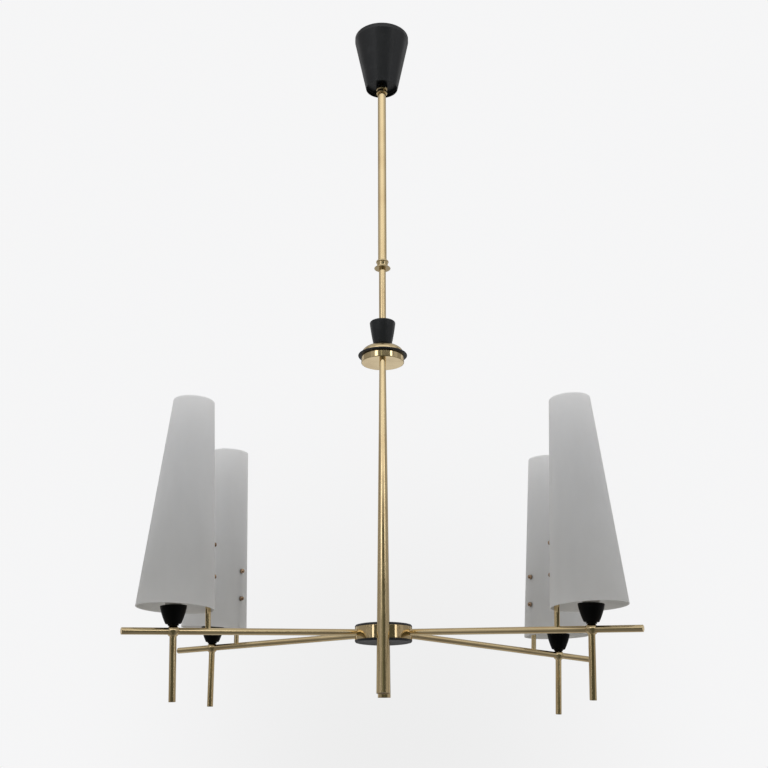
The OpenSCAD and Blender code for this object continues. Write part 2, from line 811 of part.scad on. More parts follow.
module cup(i) {
    steps = 10;
    neck_r = cup_neck_diameter / 2;
    floor_t = cup_floor / cup_height;
    hole_r = holder_nipple_r + seat_fit;
    color(lacquer) on_arm(i) translate([ball_x, 0, cup_low_h]) rotate_extrude() polygon(concat(
        [[hole_r, -cup_neck_height], [neck_r, -cup_neck_height], [neck_r, 0]],
        [for (k = [0:steps]) [cup_r(k / steps), cup_height * k / steps]],
        [for (k = [steps:-1:0]) let (t = floor_t + (1 - floor_t) * k / steps)
            [cup_r(t) - cup_wall, cup_height * t]],
        [[hole_r, cup_floor]]
    ));
}

module socket(i) {
    h = socket_height;
    color(porcelain) on_arm(i) translate([ball_x, 0, socket_low_h]) difference() {
        union() {
            cylinder(r = socket_base_r, h = socket_base_height + cut);
            translate([0, 0, socket_base_height]) cylinder(d = socket_diameter, h = h - socket_base_height);
        }
        translate([0, 0, -cut]) cylinder(r = holder_nipple_r + seat_fit, h = socket_base_height + cut);
        translate([0, 0, -cut]) cylinder(r = holder_nipple_bore, h = h - lamp_thread_depth);
        translate([0, 0, h - lamp_thread_depth]) cylinder(d = lamp_thread_diameter, h = h);
    }
}

module socket_nipples() {
    color(dark_brass) for (i = [0:arm_count - 1]) on_arm(i) translate([ball_x, 0, rod_seat])
        tube(holder_nipple_r, holder_nipple_bore, socket_low_h + socket_base_height - cut - rod_seat);
}

// ---- Shades ----

module shade(i) {
    color(opal) on_arm(i) difference() {
        translate([shade_wall_x, 0, shade_lift]) rotate([0, -shade_lean, 0]) translate([shade_low_r, 0, 0])
            rotate_extrude($fn = 180) polygon([
                [shade_low_r - shade_wall, 0], [shade_low_r, 0],
                [shade_top_r, shade_length], [shade_top_r - shade_wall, shade_length]
            ]);
        for (h = shade_screw_heights) translate([shade_wall_x - 3 * shade_wall, 0, h])
            rotate([0, 90, 0]) cylinder(r = glass_hole_r, h = 6 * shade_wall);
    }
}

module shade_posts() {
    color(brass) for (i = [0:arm_count - 1]) on_arm(i) difference() {
        translate([post_x, 0, 0]) union() {
            difference() {
                chamfered_rod(post_r, post_height);
                rotate([0, 90, 0]) translate([0, 0, -2 * post_r])
                    cylinder(r = arm_r + seat_fit, h = 4 * post_r);
                translate([0, 0, -cut]) cylinder(r = 2 * post_r, h = cut);
            }
            translate([0, 0, arm_bore_r + tenon_play]) cylinder(r = post_tenon_r, h = arm_wall + cut);
        }
        for (h = shade_screw_heights) translate([post_x - 2 * post_r, 0, h]) rotate([0, 90, 0])
            cylinder(r = screw_r + seat_fit, h = post_r + screw_depth);
    }
}

module shade_screws() {
    head_r = shade_screw_head / 2;
    side_h = screw_head_height - screw_head_round;
    shank = post_x - shade_wall_x - post_r + screw_depth - screw_end_play;
    color(brass) for (i = [0:arm_count - 1], h = shade_screw_heights) on_arm(i)
        translate([shade_wall_x - washer_gap, 0, h]) rotate([0, -90, 0]) rotate_extrude() polygon(concat(
            [[0, -shank - washer_gap], [screw_r, -shank - washer_gap], [screw_r, 0]],
            [[head_r - screw_head_edge, 0], [head_r, screw_head_edge], [head_r, side_h]],
            [for (a = [15:15:90]) [head_r * cos(a), side_h + screw_head_round * sin(a)]]
        ));
}

ceiling_plate();
ceiling_hook();
terminal_block();
hanging_link();
hanging_eye();
neck_tube();
neck_nut();
canopy_shell();
canopy_spacer();
canopy_ring();
canopy_thumb_screw();
stem_outer_tube();
stem_top_plug();
stem_collar();
stem_clamp_screw();
guide_bush();
stem_inner_tube();
bush_clip();
stem_cone();
drum_dome();
drum_ring();
drum_cup();
drum_nut();
column(-1);  // column_front
column(1);  // column_back
column_top_nuts();
column_end_caps();
hub_band();
hub_top_cap();
hub_bottom_cap();
hub_tie_rod();
hub_nipples();
arm_nuts();
arm(0);  // arm_front_right
arm(1);  // arm_back_right
arm(2);  // arm_back_left
arm(3);  // arm_front_left
ball(0);  // ball_front_right
ball(1);  // ball_back_right
ball(2);  // ball_back_left
ball(3);  // ball_front_left
drop_rod(0);  // drop_rod_front_right
drop_rod(1);  // drop_rod_back_right
drop_rod(2);  // drop_rod_back_left
drop_rod(3);  // drop_rod_front_left
cup(0);  // cup_front_right
cup(1);  // cup_back_right
cup(2);  // cup_back_left
cup(3);  // cup_front_left
socket(0);  // socket_front_right
socket(1);  // socket_back_right
socket(2);  // socket_back_left
socket(3);  // socket_front_left
shade(0);  // shade_front_right
shade(1);  // shade_back_right
shade(2);  // shade_back_left
shade(3);  // shade_front_left
shade_posts();
shade_screws();
socket_nipples();
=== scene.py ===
"""Looks of a four arm hanging lamp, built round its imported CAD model.

Lengths are in metres, and angles in radians unless a comment says degrees.
"""

import json
import math

import bmesh
import bpy
from mathutils import Matrix, Vector


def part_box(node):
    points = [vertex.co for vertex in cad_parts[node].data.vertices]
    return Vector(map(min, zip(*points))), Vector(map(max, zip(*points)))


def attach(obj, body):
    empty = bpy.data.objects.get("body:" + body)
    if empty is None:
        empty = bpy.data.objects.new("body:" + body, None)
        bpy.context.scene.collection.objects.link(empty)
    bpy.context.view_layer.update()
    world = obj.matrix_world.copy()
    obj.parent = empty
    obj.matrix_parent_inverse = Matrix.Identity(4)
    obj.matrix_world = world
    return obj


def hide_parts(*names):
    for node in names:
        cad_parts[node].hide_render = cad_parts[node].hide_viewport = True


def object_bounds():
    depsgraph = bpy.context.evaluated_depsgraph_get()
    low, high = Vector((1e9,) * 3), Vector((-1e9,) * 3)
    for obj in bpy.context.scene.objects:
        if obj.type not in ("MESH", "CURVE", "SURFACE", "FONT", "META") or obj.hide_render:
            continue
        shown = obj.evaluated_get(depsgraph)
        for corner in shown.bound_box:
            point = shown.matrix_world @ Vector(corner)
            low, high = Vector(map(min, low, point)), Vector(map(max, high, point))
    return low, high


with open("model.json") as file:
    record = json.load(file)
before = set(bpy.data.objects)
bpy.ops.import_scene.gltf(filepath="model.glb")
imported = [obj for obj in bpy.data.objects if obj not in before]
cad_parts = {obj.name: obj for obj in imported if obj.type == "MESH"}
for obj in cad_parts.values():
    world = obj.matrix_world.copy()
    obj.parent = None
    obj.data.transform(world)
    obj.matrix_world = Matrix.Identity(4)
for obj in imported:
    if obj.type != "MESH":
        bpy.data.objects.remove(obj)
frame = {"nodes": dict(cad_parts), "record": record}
cad_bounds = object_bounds()

MM = 0.001
ARMS = ("front_right", "back_right", "back_left", "front_left")


# ---- Sizes: those from low, high and radius are read from the frame, the rest repeat the part's source ----


def low(node):
    """Lowest corner of a CAD node."""
    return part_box(node)[0]


def high(node):
    """Highest corner of a CAD node."""
    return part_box(node)[1]


def radius(node):
    """Radius of a CAD node that is round about a vertical axis."""
    return (high(node).x - low(node).x) / 2


HUB_Z = (low("hub_band").z + high("hub_band").z) / 2
HUB_R = radius("hub_band")
ARM_R = 5 * MM
BALL_X = 343 * MM
BALL_R = 9 * MM
BALL_FLAT = 7.6 * MM
ARM_TIP_X = 418 * MM
ARM_START_X = 36 * MM
DROP_LENGTH = 97 * MM
DROP_START = 5.3 * MM

CUP_NECK = 2.6 * MM
CUP_NECK_R = 7.75 * MM
CUP_LOW_R = 11.25 * MM
CUP_TOP_R = 19.25 * MM
CUP_HEIGHT = 25.5 * MM
CUP_WALL = 1.6 * MM
CUP_BULGE = 0.9 * MM
CUP_Z = BALL_FLAT + CUP_NECK
HOLDER_R = 12 * MM
HOLDER_Z = CUP_Z + 2.2 * MM
HOLDER_HEIGHT = 46 * MM
THREAD_R = 7.1 * MM
THREAD_DEPTH = 27 * MM

SHADE_LOW_R = 56.3 * MM
SHADE_TOP_R = 31 * MM
SHADE_LENGTH = 313.5 * MM
SHADE_WALL = 2.2 * MM
SHADE_LIFT = 27.5 * MM
SHADE_LEAN = math.atan((SHADE_LOW_R - SHADE_TOP_R) / SHADE_LENGTH)
SHADE_WALL_X = BALL_X - 2.4 * MM - SHADE_LOW_R * math.cos(SHADE_LEAN)
POST_R = 4 * MM
POST_X = SHADE_WALL_X + SHADE_WALL / math.cos(SHADE_LEAN) + 0.1 * MM + POST_R
POST_HEIGHT = 137 * MM
SCREW_HEIGHTS = (79 * MM, 126 * MM)

COLUMN_TOP_R = 5.3 * MM
COLUMN_LOW_R = 10.3 * MM
COLUMN_TOP_OFFSET = 23.5 * MM
CAGE_HEIGHT = low("drum_cup").z - HUB_Z
COLUMN_DROP = CAGE_HEIGHT + 93.5 * MM
COLUMN_HUB_R = COLUMN_TOP_R + (COLUMN_LOW_R - COLUMN_TOP_R) * CAGE_HEIGHT / COLUMN_DROP
COLUMN_LEAN = math.atan((HUB_R + COLUMN_HUB_R + 0.15 * MM - COLUMN_TOP_OFFSET) / CAGE_HEIGHT)
COLUMN_LENGTH = COLUMN_DROP / math.cos(COLUMN_LEAN)


def arm_frame(name):
    """Frame of one arm: X runs out along the arm from the hub's axis, Z is square to it."""
    mount = next(m for m in frame["record"]["mounts"] if m["name"] == "lamp_" + name)
    mouth = Vector(mount["pos_m"])
    upward = Vector(mount["axis"])
    angle = math.atan2(mouth.y, mouth.x)
    outward = Vector((math.cos(angle), math.sin(angle), 0))
    droop = math.atan2(upward.dot(outward), upward.z)
    root = Matrix.Translation(outward * HUB_R + Vector((0, 0, HUB_Z)))
    turn = Matrix.Rotation(angle, 4, "Z") @ Matrix.Rotation(droop, 4, "Y")
    return root @ turn @ Matrix.Translation((-HUB_R, 0, 0))


def column_frame(side):
    """Frame of one column: Z runs down its middle from the drum, side is -1 at the front."""
    place = Matrix.Translation((0, side * COLUMN_TOP_OFFSET, low("drum_cup").z))
    return place @ Matrix.Rotation(side * COLUMN_LEAN + math.pi, 4, "X")


def at(x=0.0, y=0.0, z=0.0):
    """A move without a turn."""
    return Matrix.Translation((x, y, z))


LIE = Matrix.Rotation(math.pi / 2, 4, "Y")
FLIP = Matrix.Rotation(math.pi, 4, "X")


# ---- Camera ----


def make_camera():
    """The camera stands in front of the lamp, a little lower than its lowest point, and looks up."""
    pitch, yaw, roll = (math.radians(degrees) for degrees in (18.823, -0.667, -0.203))
    place_right = 0.0226
    distance = 1.760
    drop_below_hub = 0.1857
    forward = Vector((math.sin(yaw) * math.cos(pitch), math.cos(yaw) * math.cos(pitch), math.sin(pitch)))
    level = Vector((math.cos(yaw), -math.sin(yaw), 0))
    upward = level.cross(forward)
    right = level * math.cos(roll) + upward * math.sin(roll)
    top = upward * math.cos(roll) - level * math.sin(roll)
    data = bpy.data.cameras.new("camera")
    data.sensor_width = 36
    data.lens = 51.55
    data.clip_end = 200
    camera = bpy.data.objects.new("camera", data)
    bpy.context.scene.collection.objects.link(camera)
    turn = Matrix((right, top, -forward)).transposed().to_4x4()
    camera.matrix_world = Matrix.Translation((place_right, -distance, HUB_Z - drop_below_hub)) @ turn
    bpy.context.scene.camera = camera


# ---- Materials ----


class Nodes:
    """Builds the nodes of one material or world."""

    def __init__(self, tree):
        self.tree = tree
        tree.nodes.clear()

    def add(self, kind, **inputs):
        """Adds a node; an input is a value or another node's output, its name with _ for a space."""
        made = self.tree.nodes.new(kind)
        for name, value in inputs.items():
            if hasattr(made, name):
                setattr(made, name, value)
                continue
            socket = made.inputs[int(name[1:])] if name[1:].isdigit() else made.inputs[name.replace("_", " ")]
            if isinstance(value, bpy.types.NodeSocket):
                self.tree.links.new(value, socket)
            else:
                socket.default_value = value
        return made

    def math(self, operation, a, b=0.0):
        return self.add("ShaderNodeMath", operation=operation, i0=a, i1=b).outputs[0]

    def step(self, value, start, end, to_min=0.0, to_max=1.0):
        """A smooth step from to_min at start to to_max at end."""
        made = self.add(
            "ShaderNodeMapRange", interpolation_type="SMOOTHSTEP", Value=value,
            From_Min=start, From_Max=end, To_Min=to_min, To_Max=to_max,
        )
        return made.outputs[0]

    def noise(self, scale, detail=4.0, stretch=(1, 1, 1)):
        """Noise in the piece's own space; stretch is the scale along each axis."""
        coords = self.add("ShaderNodeTexCoord").outputs["Object"]
        mapped = self.add("ShaderNodeMapping", Vector=coords, Scale=stretch).outputs[0]
        return self.add("ShaderNodeTexNoise", Vector=mapped, Scale=scale, Detail=detail).outputs[0]

    def blend(self, factor, a, b):
        made = self.add("ShaderNodeMix", data_type="RGBA")
        for socket, value in ((made.inputs[0], factor), (made.inputs[6], a), (made.inputs[7], b)):
            if isinstance(value, bpy.types.NodeSocket):
                self.tree.links.new(value, socket)
            else:
                socket.default_value = value
        return made.outputs[2]

    def bump(self, height, strength, distance):
        return self.add("ShaderNodeBump", Height=height, Strength=strength, Distance=distance).outputs[0]

    def finish(self, **inputs):
        shader = self.add("ShaderNodeBsdfPrincipled", **inputs)
        self.add("ShaderNodeOutputMaterial", Surface=shader.outputs[0])


def new_material(name):
    material = bpy.data.materials.new(name)
    material.use_nodes = True
    return material, Nodes(material.node_tree)


def brass(name, clean, tarnished, shine, patina):
    """Polished brass: soft clouds of tarnish, and smudges in the shine."""
    material, nodes = new_material(name)
    clouds = nodes.step(nodes.noise(16, 4), 0.40, 0.75, 0.0, patina)
    nodes.finish(
        Base_Color=nodes.blend(clouds, (*clean, 1), (*tarnished, 1)),
        Metallic=1.0,
        Roughness=nodes.step(nodes.noise(34, 3), 0.35, 0.75, shine, shine + 0.06),
        Normal=nodes.bump(nodes.noise(20, 1), 0.1, 0.0001),
    )
    return material


def lacquer(name, colour, worn, shine, gloss):
    """Sprayed black lacquer: a fine orange peel, and a little grey where it has been rubbed."""
    material, nodes = new_material(name)
    rubbed = nodes.step(nodes.noise(38, 6), 0.52, 0.8)
    nodes.finish(
        Base_Color=nodes.blend(rubbed, (*colour, 1), (*worn, 1)),
        Roughness=nodes.step(nodes.noise(90, 3), 0.3, 0.7, shine, shine + 0.08),
        Normal=nodes.bump(nodes.noise(700, 2), 0.1, 0.0001),
        Specular_IOR_Level=gloss,
    )
    return material


def opal(name, upper, lower):
    """Satin opal glass. Its tone falls from top to foot by as much as the photo's brightness does; this
    darkening is painted shade, standing in for light that comes from above.
    """
    material, nodes = new_material(name)
    coords = nodes.add("ShaderNodeTexCoord").outputs["Object"]
    level = nodes.add("ShaderNodeSeparateXYZ", Vector=coords).outputs[2]
    # painted shade: the colour blends from upper at the shade's top to lower at its foot
    foot = nodes.step(level, high("shade_front_left").z, low("shade_front_left").z)
    clouds = nodes.step(nodes.noise(9, 3, (1, 1, 0.5)), 0.3, 0.7, -0.08, 0.08)
    nodes.finish(
        Base_Color=nodes.blend(nodes.math("ADD", foot, clouds), (*upper, 1), (*lower, 1)),
        Roughness=0.5,
        Subsurface_Weight=1.0,
        Subsurface_Radius=(1.0, 0.98, 0.94),
        Subsurface_Scale=0.011,
        Specular_IOR_Level=0.3,
        Normal=nodes.bump(nodes.noise(1600, 2), 0.06, 0.00005),
    )
    return material


def zinc(name):
    """Zinc plated steel, with dull spangles."""
    material, nodes = new_material(name)
    spangle = nodes.step(nodes.noise(180, 4), 0.35, 0.7)
    nodes.finish(
        Base_Color=nodes.blend(spangle, (0.58, 0.59, 0.61, 1), (0.40, 0.41, 0.42, 1)),
        Metallic=1.0,
        Roughness=nodes.step(nodes.noise(320, 3), 0.3, 0.7, 0.28, 0.42),
        Normal=nodes.bump(nodes.noise(600, 2), 0.08, 0.0001),
    )
    return material


def moulded(name, colour, shade, shine):
    """Moulded plastic or pressed fibre, with a faint change of colour and a slightly uneven skin."""
    material, nodes = new_material(name)
    drift = nodes.step(nodes.noise(60, 3), 0.35, 0.7)
    nodes.finish(
        Base_Color=nodes.blend(drift, (*colour, 1), (*shade, 1)),
        Roughness=nodes.step(nodes.noise(140, 3), 0.3, 0.7, shine, shine + 0.08),
        Normal=nodes.bump(nodes.noise(500, 2), 0.06, 0.0001),
    )
    return material


MATERIALS = {
    "polished_brass": brass("polished_brass", (0.87, 0.69, 0.40), (0.68, 0.49, 0.26), 0.09, 0.5),
    "aged_brass": brass("aged_brass", (0.62, 0.47, 0.25), (0.30, 0.20, 0.10), 0.2, 0.9),
    "black_lacquer": lacquer("black_lacquer", (0.014, 0.016, 0.019), (0.026, 0.028, 0.031), 0.32, 0.5),
    "black_cup": lacquer("black_cup", (0.0015, 0.0015, 0.0016), (0.004, 0.004, 0.004), 0.45, 0.15),
    # opal glass: the darker lower colour at the foot of each shade is painted shade
    "opal_glass": opal("opal_glass", (0.95, 0.955, 0.95), (0.56, 0.56, 0.55)),
    "zinc_steel": zinc("zinc_steel"),
    "lamp_holder_plastic": moulded("lamp_holder_plastic", (0.80, 0.78, 0.72), (0.70, 0.67, 0.60), 0.2),
    "terminal_plastic": moulded("terminal_plastic", (0.86, 0.85, 0.80), (0.76, 0.74, 0.68), 0.35),
}
SCREW_BRASS = brass("screw_brass", (0.60, 0.42, 0.28), (0.30, 0.19, 0.12), 0.18, 0.8)
WASHER_FIBRE = moulded("washer_fibre", (0.30, 0.29, 0.27), (0.20, 0.19, 0.17), 0.6)


def paint_cad_nodes():
    """Gives every CAD node the finish of its slot; those that a piece replaces don't show."""
    slots = {row["node"]: row["material_slot"] for row in frame["record"]["subparts"]}
    for name, node in frame["nodes"].items():
        for slot in node.material_slots:
            slot.material = MATERIALS[slots[name]]


# ---- Meshes ----


def fillet(corners, steps=5):
    """A closed outline from (radius, height, rounding) corners, with each rounding as an arc."""
    outline = []
    count = len(corners)
    for k, (x, z, rounding) in enumerate(corners):
        corner = Vector((x, z))
        back = Vector(corners[k - 1][:2]) - corner
        ahead = Vector(corners[(k + 1) % count][:2]) - corner
        half = back.angle(ahead, math.pi) / 2
        if rounding <= 0 or half > math.radians(88):
            outline.append((x, z))
            continue
        reach = min(rounding / math.tan(half), 0.48 * back.length, 0.48 * ahead.length)
        size = reach * math.tan(half)
        centre = corner + (back.normalized() + ahead.normalized()).normalized() * (size / math.sin(half))
        start = corner + back.normalized() * reach - centre
        end = corner + ahead.normalized() * reach - centre
        sweep = start.angle_signed(end)
        for step in range(steps + 1):
            turn = Matrix.Rotation(-sweep * step / steps, 2)
            outline.append(tuple(centre + turn @ start))
    return outline


def arc(x, z, size, start, end, steps=12):
    """Points of an arc round (x, z) in the plane of an outline, angles in degrees."""
    angles = [math.radians(start + (end - start) * k / steps) for k in range(steps + 1)]
    return [(x + size * math.cos(a), z + size * math.sin(a)) for a in angles]


def braced(outline):
    """The outline with a point near each end of its long straight stretches, so that they shade flat."""
    shortest = 1.2 * MM
    inset = 0.25 * MM
    result = []
    for k, point in enumerate(outline):
        start = Vector(point)
        along = Vector(outline[(k + 1) % len(outline)]) - start
        result.append(start)
        if along.length > shortest:
            result += [start + along.normalized() * d for d in (inset, along.length - inset)]
    return result


def add_ring(mesh, x, z, segments, wave):
    """One ring of vertices, or a single one on the axis."""
    if x < 1e-7:
        return [mesh.verts.new((0, 0, z))]
    made = []
    for k in range(segments):
        a = 2 * math.pi * k / segments
        r = x + (wave(x, z, a) if wave else 0.0)
        made.append(mesh.verts.new((r * math.cos(a), r * math.sin(a), z)))
    return made


def lathe(name, outline, material, segments=96, wave=None, sharp=38):
    """A turned piece: a closed outline of (radius, height) points, spun round Z.

    wave adds to the radius, and edges that bend by more than sharp degrees stay crisp.
    """
    mesh = bmesh.new()
    rings = [add_ring(mesh, x, z, segments, wave) for x, z in braced(outline)]
    for k, ring in enumerate(rings):
        after = rings[(k + 1) % len(rings)]
        for j in range(segments):
            corners = [ring[j % len(ring)], ring[(j + 1) % len(ring)]]
            corners += [after[(j + 1) % len(after)], after[j % len(after)]]
            unique = list(dict.fromkeys(corners))
            if len(unique) > 2:
                mesh.faces.new(unique)
    bmesh.ops.recalc_face_normals(mesh, faces=mesh.faces)
    for face in mesh.faces:
        face.smooth = True
    for edge in mesh.edges:
        edge.smooth = len(edge.link_faces) == 2 and edge.calc_face_angle() < math.radians(sharp)
    data = bpy.data.meshes.new(name)
    mesh.to_mesh(data)
    mesh.free()
    data.materials.append(material)
    made = bpy.data.objects.new(name, data)
    bpy.context.scene.collection.objects.link(made)
    return made


def place(piece, matrix, body, slot, *nodes):
    """Sets a piece down, lets it ride on its body and stand for its CAD nodes."""
    piece.data.transform(matrix)
    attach(piece, body)
    if nodes:
        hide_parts(*nodes)


def turned(name, corners, body, slot, nodes=(), matrix=None, material=None, **options):
    """A turned piece from filleted corners, put in place."""
    piece = lathe(name, fillet(corners), material or MATERIALS[slot], **options)
    place(piece, matrix or Matrix(), body, slot, *nodes)


def rod(length, r, bevel):
    """Corners of a solid rod that stands on z = 0."""
    return [(0, 0, 0), (r, 0, bevel), (r, length, bevel), (0, length, 0)]


def pipe(bottom, top, r_out, r_in, bevel):
    """Corners of a tube."""
    return [(r_in, bottom, bevel), (r_out, bottom, bevel), (r_out, top, bevel), (r_in, top, bevel)]


# ---- Canopy and stem ----


def make_canopy():
    """Spun black shell with a folded rim, and the brass clamping ring under it."""
    bottom = low("canopy_shell").z
    top = high("canopy_shell").z
    rim = radius("canopy_shell")
    foot = 29.25 * MM
    wall = 1.2 * MM
    lip_height = 8 * MM
    recess = 8 * MM
    floor_thickness = 1.5 * MM
    lip = top - lip_height
    floor = bottom + recess
    share = (floor - bottom) / (lip - bottom)
    floor_r = foot + (rim - foot) * share - wall
    hole = radius("stem_outer_tube") + 0.4 * MM
    corners = [
        (foot - wall, bottom, 0.3 * MM), (foot, bottom, 0.5 * MM), (rim, lip, 0.6 * MM),
        (rim, top, 0.5 * MM), (rim - wall, top, 0.4 * MM), (rim - wall, lip, 0.5 * MM),
        (floor_r + 0.5 * MM, floor + floor_thickness, 0.8 * MM),
        (hole, floor + floor_thickness, 0.2 * MM), (hole, floor, 0.3 * MM), (floor_r, floor, 0.9 * MM),
    ]
    turned("canopy_spun_shell", corners, "canopy", "black_lacquer", ["canopy_shell"], segments=160)
    ring_low = low("canopy_ring").z
    ring_high = high("canopy_ring").z
    ring_r = radius("canopy_ring")
    height = ring_high - ring_low
    bore = radius("stem_outer_tube") + 0.05 * MM
    groove = 1.4 * MM
    corners = [
        (bore, ring_low, 0.2 * MM), (ring_r, ring_low, 0.8 * MM),
        (ring_r, ring_low + 0.24 * height, 0.5 * MM), (ring_r - groove, ring_low + 0.36 * height, 0.8 * MM),
        (ring_r - groove, ring_low + 0.64 * height, 0.8 * MM), (ring_r, ring_low + 0.76 * height, 0.5 * MM),
        (ring_r, ring_high, 0.8 * MM), (bore, ring_high, 0.2 * MM),
    ]
    turned("canopy_clamp_ring", corners, "canopy", "polished_brass", ["canopy_ring"])


def knurl(depth, teeth, reach):
    """A wave that cuts fine teeth into the outer face of a head."""
    return lambda x, z, a: -depth * (0.5 + 0.5 * math.cos(teeth * a)) if x > reach else 0.0


def make_thumb_screw():
    """Small knurled screw in the canopy's ring."""
    angle = math.radians(-58)
    middle = (low("canopy_ring").z + high("canopy_ring").z) / 2
    tip = radius("stem_outer_tube") + 0.3 * MM
    head = radius("canopy_ring") + 2.5 * MM
    head_r = 2.4 * MM
    head_end = head + 4.5 * MM
    shank = 2 * MM
    corners = [
        (0, tip, 0), (shank, tip, 0.4 * MM), (shank, head, 0), (head_r, head, 0.3 * MM),
        (head_r, head_end, 0.8 * MM), (0, head_end, 0),
    ]
    matrix = at(z=middle) @ Matrix.Rotation(angle, 4, "Z") @ LIE
    turned(
        "canopy_knurled_screw", corners, "thumb_screw", "polished_brass", ["canopy_thumb_screw"],
        matrix, wave=knurl(0.12 * MM, 20, 2.2 * MM),
    )


def make_stem():
    """Thick tube, turned collar and thin tube."""
    outer_r = radius("stem_outer_tube")
    wall = 1 * MM
    turned(
        "stem_thick_tube",
        pipe(low("stem_outer_tube").z, high("stem_outer_tube").z, outer_r, outer_r - wall, 0.25 * MM),
        "stem", "polished_brass", ["stem_outer_tube"],
    )
    bottom = low("stem_collar").z
    top = high("stem_collar").z + 0.6 * MM
    flange = radius("stem_collar") - 1.2 * MM
    waist = outer_r + 1.8 * MM
    cove = 3.5 * MM
    bead = outer_r + 3.5 * MM - 2.6 * MM
    thin_r = radius("stem_inner_tube")
    outline = [(thin_r + 0.05 * MM, bottom)]
    outline += arc(flange, bottom + 1.2 * MM, 1.2 * MM, -90, 90)
    outline += arc(waist + cove, bottom + 2.4 * MM + cove, cove, 270, 180)
    outline += arc(bead, top - 3.1 * MM, 2.6 * MM, -60, 60)
    outline += [(outer_r + 0.02 * MM, top - 0.6 * MM), (outer_r + 0.02 * MM, bottom + 3 * MM)]
    outline += [(thin_r + 0.05 * MM, bottom + 3 * MM)]
    piece = lathe("stem_turned_collar", outline, MATERIALS["polished_brass"], segments=128)
    place(piece, Matrix(), "stem", "polished_brass", "stem_collar")
    spigot = 22 * MM
    spigot_r = 5 * MM
    bore = 3.8 * MM
    bottom = low("stem_inner_tube").z
    top = high("stem_inner_tube").z
    corners = [
        (bore, bottom, 0.2 * MM), (thin_r, bottom, 0.2 * MM), (thin_r, top - spigot, 0.3 * MM),
        (spigot_r, top - spigot, 0.1 * MM), (spigot_r, top, 0.4 * MM), (bore, top, 0.2 * MM),
    ]
    turned("stem_thin_tube", corners, "lamp", "polished_brass", ["stem_inner_tube"])


# ---- Drum ----


def make_drum():
    """Black cone, brass dome, black ring and brass cup."""
    tube_r = radius("stem_inner_tube") + 0.02 * MM
    bottom = low("stem_cone").z
    height = high("stem_cone").z - bottom
    top_r = 22 * MM
    foot_r = 15.5 * MM
    shoulder = 3 * MM
    side = height - shoulder
    lean = math.degrees(math.atan((top_r - foot_r) / side))
    bulge = 0.54 * MM
    rows = 24
    outline = [(tube_r, bottom), (foot_r - 0.3 * MM, bottom)]
    for k in range(rows + 1):
        t = k / rows
        x = foot_r + (top_r - foot_r) * t + bulge * 4 * t * (1 - t)
        outline.append((x, bottom + 0.2 * MM + side * t))
    outline += arc(top_r - shoulder, bottom + side, shoulder, lean, 90)
    outline += [(tube_r + 0.6 * MM, bottom + height), (tube_r, bottom + height - 0.5 * MM)]
    piece = lathe("drum_black_cone", outline, MATERIALS["black_lacquer"], segments=128)
    place(piece, Matrix(), "lamp", "black_lacquer", "stem_cone")

    bottom = low("drum_dome").z
    rim = radius("drum_dome")
    upright = 2 * MM
    rise = high("drum_dome").z - bottom - upright
    wall = 1.5 * MM
    rows = 32
    outline = [(rim, bottom)]
    for k in range(rows + 1):
        x = rim * math.cos(math.radians(80 * k / rows))
        outline.append((x, bottom + upright + rise * math.sqrt(1 - (x / rim) ** 2)))
    outline += [(tube_r, bottom + upright + rise), (tube_r, bottom + upright + rise - wall)]
    for k in range(rows, -1, -1):
        x = (rim - wall) * math.cos(math.radians(75 * k / rows))
        outline.append((x, bottom + upright - wall + rise * math.sqrt(1 - (x / (rim - wall)) ** 2)))
    outline += [(rim - wall, bottom)]
    piece = lathe("drum_spun_dome", outline, MATERIALS["polished_brass"], segments=160)
    place(piece, Matrix(), "lamp", "polished_brass", "drum_dome")

    bottom = low("drum_ring").z
    top = high("drum_ring").z
    rim = radius("drum_ring")
    half = (top - bottom) / 2
    outline = [(tube_r, bottom)] + arc(rim - half, bottom + half, half, -90, 90) + [(tube_r, top)]
    piece = lathe("drum_black_ring", outline, MATERIALS["black_lacquer"], segments=160)
    place(piece, Matrix(), "lamp", "black_lacquer", "drum_ring")

    bottom = low("drum_cup").z
    top = high("drum_cup").z
    rim = radius("drum_cup")
    floor = bottom + 2 * MM
    corners = [
        (0, bottom, 0), (rim, bottom, 1.1 * MM), (rim, top, 0.2 * MM), (rim - wall, top, 0.2 * MM),
        (rim - wall, floor, 0.5 * MM), (0, floor, 0),
    ]
    turned("drum_brass_cup", corners, "lamp", "polished_brass", ["drum_cup"], segments=160)


# ---- Columns and hub ----


def make_column(name, side):
    """Tapered column, open at its lower end round a recessed plug."""
    wall = 1.6 * MM
    bore = COLUMN_LOW_R - wall
    recess = COLUMN_LENGTH - 6 * MM
    corners = [
        (0, 0, 0), (COLUMN_TOP_R, 0, 0.2 * MM), (COLUMN_LOW_R, COLUMN_LENGTH, 0.5 * MM),
        (bore, COLUMN_LENGTH, 0.3 * MM), (bore, recess, 0), (0, recess, 0),
    ]
    turned("tapered_" + name, corners, "lamp", "polished_brass", [name], column_frame(side))
    plug_height = 2.2 * MM
    plug_start = COLUMN_LENGTH - 3.2 * MM
    turned(
        "end_plug_of_" + name, rod(plug_height, bore - 0.2 * MM, 0.3 * MM), "lamp", "aged_brass",
        ["column_end_caps"], column_frame(side) @ at(z=plug_start),
    )


